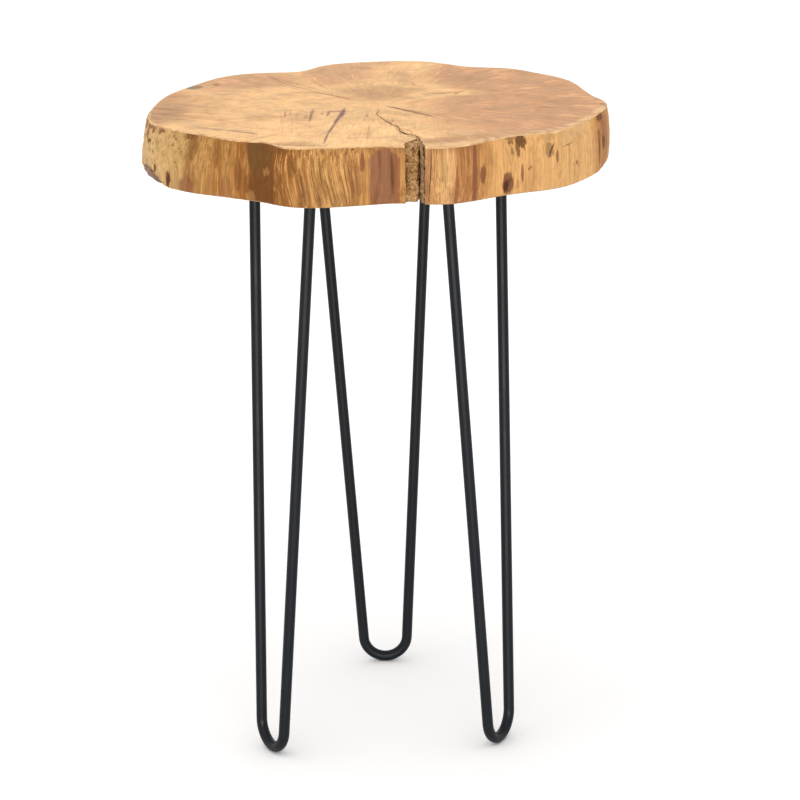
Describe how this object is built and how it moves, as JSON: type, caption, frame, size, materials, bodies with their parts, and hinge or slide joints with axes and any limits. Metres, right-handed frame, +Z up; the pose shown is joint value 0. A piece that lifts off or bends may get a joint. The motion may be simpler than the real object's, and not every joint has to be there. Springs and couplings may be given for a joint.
{
  "type": "side table",
  "caption": "Round side table: a live-edge wood slice with a bark pocket, on splayed hairpin legs bent from black steel rod, each on its own screwed plate.",
  "frame": {"origin": "on the floor, under the middle of the wooden top's outline box", "axes": "+Z up; the front, with the bark pocket, faces -Y; the single back leg is towards +Y; +X is to the viewer's right"},
  "size_m": [0.4198, 0.433, 0.59],
  "materials": {
    "slab_wood": "sanded end grain with a thin satin clear coat, live edge left wavy",
    "bark": "rough ingrown bark",
    "rod_black_steel": "satin black powder coat over bent rod and its rippled weld beads",
    "plate_black_steel": "satin black powder coat",
    "screw_steel": "dark zinc plating"
  },
  "bodies": {
    "root": {"wood_top": "slab_wood", "bark_inclusion": "bark", "front_left_hairpin_rod": "rod_black_steel", "front_left_mounting_plate": "plate_black_steel", "front_left_screw_1": "screw_steel", "front_left_screw_2": "screw_steel", "front_left_screw_3": "screw_steel", "front_right_hairpin_rod": "rod_black_steel", "front_right_mounting_plate": "plate_black_steel", "front_right_screw_1": "screw_steel", "front_right_screw_2": "screw_steel", "front_right_screw_3": "screw_steel", "back_hairpin_rod": "rod_black_steel", "back_mounting_plate": "plate_black_steel", "back_screw_1": "screw_steel", "back_screw_2": "screw_steel", "back_screw_3": "screw_steel"}
  },
  "joints": []
}
